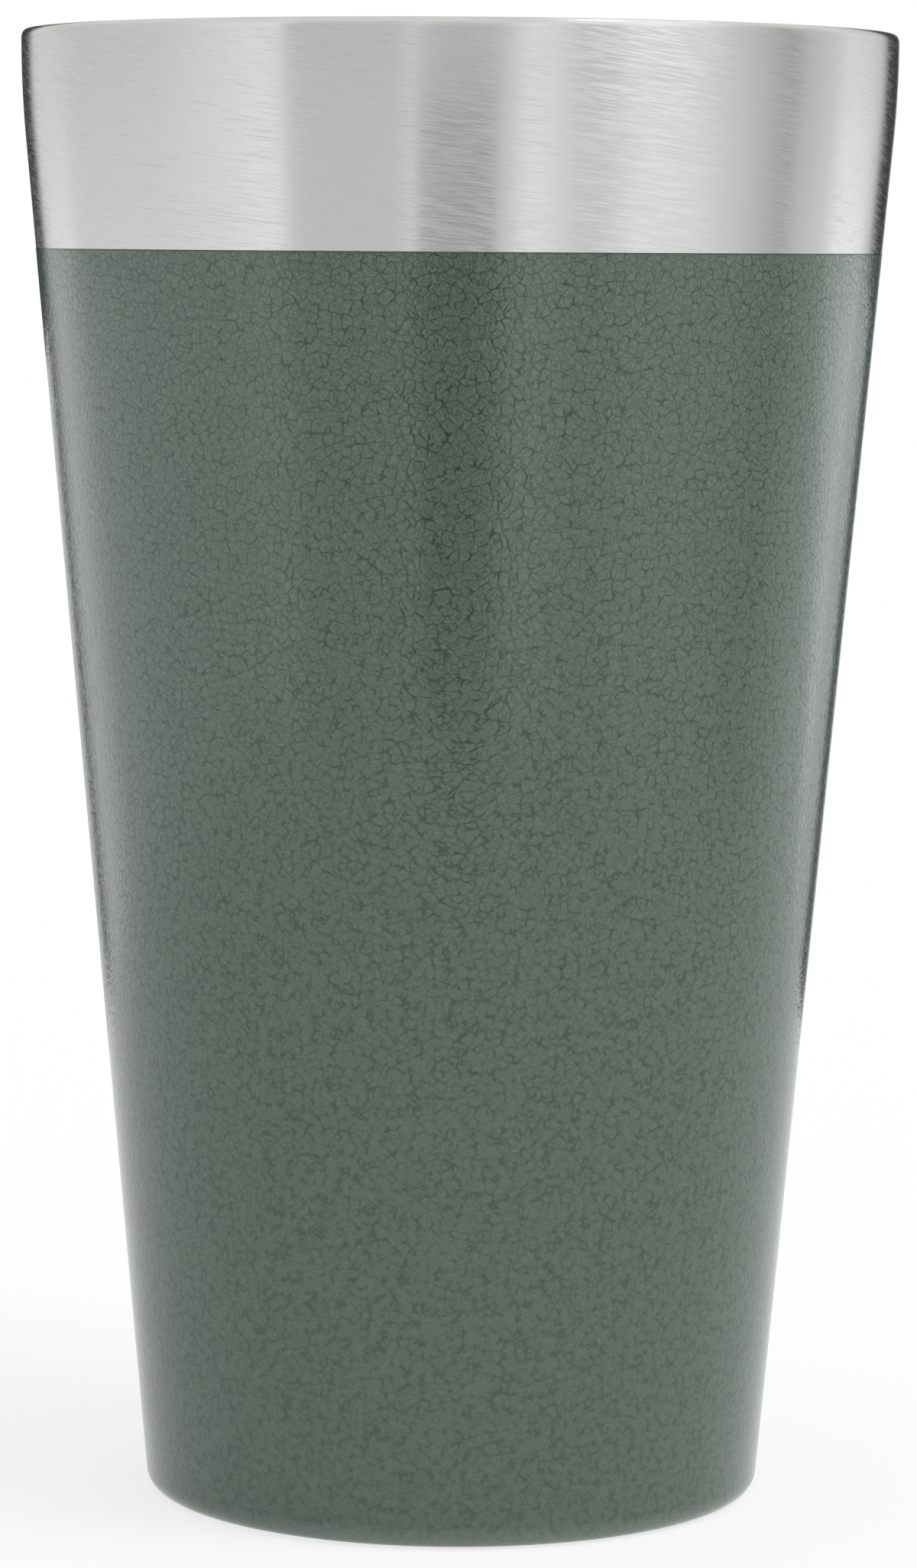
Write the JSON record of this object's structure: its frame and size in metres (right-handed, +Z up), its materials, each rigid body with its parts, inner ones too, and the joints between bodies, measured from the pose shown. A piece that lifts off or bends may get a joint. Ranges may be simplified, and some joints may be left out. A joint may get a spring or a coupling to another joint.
{
  "type": "pint cup",
  "caption": "Tapered double-wall vacuum pint cup of stainless steel, green hammered paint below a bare brushed lip band, for cold or hot drinks.",
  "frame": {"origin": "on the cup's axis, in the plane of the table that the foot ring stands on", "axes": "+Z up along the cup's axis, out of the mouth; X and Y lie in the table's plane, and the getter is on +Y"},
  "size_m": [0.092, 0.092, 0.1545],
  "materials": {
    "hammered_paint": "semi-gloss hammered cells",
    "brushed_steel": "brushed round the axis",
    "mill_steel": "as rolled",
    "copper_foil": "bright",
    "solder_glass": "fused, dark",
    "getter_alloy": "pressed powder"
  },
  "bodies": {
    "root": {"outer_shell": "hammered_paint", "inner_liner": "brushed_steel", "rim_weld": "brushed_steel", "radiation_foil": "copper_foil", "vacuum_base": "mill_steel", "base_weld": "mill_steel", "seal_bead": "solder_glass", "getter_holder": "mill_steel", "getter_pellet": "getter_alloy", "base_cover": "brushed_steel"}
  },
  "joints": []
}
